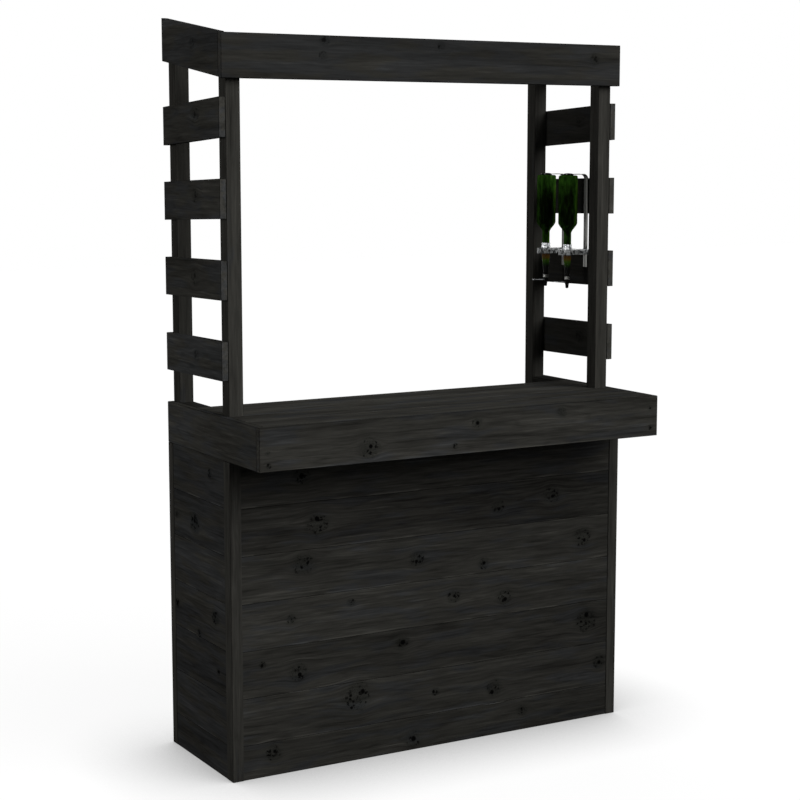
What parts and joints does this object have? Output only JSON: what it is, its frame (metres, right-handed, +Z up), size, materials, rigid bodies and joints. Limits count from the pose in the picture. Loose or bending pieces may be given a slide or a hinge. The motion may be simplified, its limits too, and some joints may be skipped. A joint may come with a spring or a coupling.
{
  "type": "outdoor garden bar",
  "caption": "Slim outdoor bar in black-stained timber: boarded base, overhanging counter, slatted side screens between posts, a top fascia and an inverted-bottle dispenser on one side.",
  "frame": {"origin": "centre of the footprint, on the floor", "axes": "+Z up, the customers' side faces -Y, +X to the right seen from there"},
  "size_m": [1.208, 0.566, 1.9518],
  "materials": {
    "black_stained_timber": "black stain over planed softwood, matt",
    "bright_steel": "bright steel strip",
    "green_glass": "green bottle glass",
    "clear_plastic": "clear moulded plastic",
    "black_rubber": "black moulded rubber"
  },
  "bodies": {
    "root": {"post_front_left": "black_stained_timber", "post_front_right": "black_stained_timber", "post_back_left": "black_stained_timber", "post_back_right": "black_stained_timber", "slat_left_1": "black_stained_timber", "slat_left_2": "black_stained_timber", "slat_left_3": "black_stained_timber", "slat_left_4": "black_stained_timber", "slat_right_1": "black_stained_timber", "slat_right_2": "black_stained_timber", "slat_right_3": "black_stained_timber", "slat_right_4": "black_stained_timber", "fascia_front": "black_stained_timber", "fascia_left": "black_stained_timber", "fascia_right": "black_stained_timber", "apron_front": "black_stained_timber", "apron_left": "black_stained_timber", "apron_right": "black_stained_timber", "counter_top": "black_stained_timber", "counter_cap_left": "black_stained_timber", "counter_cap_right": "black_stained_timber", "counter_rail": "black_stained_timber", "side_rail_left": "black_stained_timber", "side_rail_right": "black_stained_timber", "front_frame": "black_stained_timber", "corner_stud_left": "black_stained_timber", "corner_stud_right": "black_stained_timber", "back_strip_left": "black_stained_timber", "back_strip_right": "black_stained_timber", "cladding_front": "black_stained_timber", "cladding_left": "black_stained_timber", "cladding_right": "black_stained_timber", "bearer_low_left": "black_stained_timber", "bearer_low_right": "black_stained_timber", "bearer_middle_left": "black_stained_timber", "bearer_middle_right": "black_stained_timber", "shelf_low": "black_stained_timber", "shelf_middle": "black_stained_timber", "holder_1": "bright_steel", "bottle_1": "green_glass", "measure_1": "clear_plastic", "clamp_1": "clear_plastic", "pad_1": "black_rubber", "holder_2": "bright_steel", "bottle_2": "green_glass", "measure_2": "clear_plastic", "clamp_2": "clear_plastic", "pad_2": "black_rubber"}
  },
  "joints": []
}
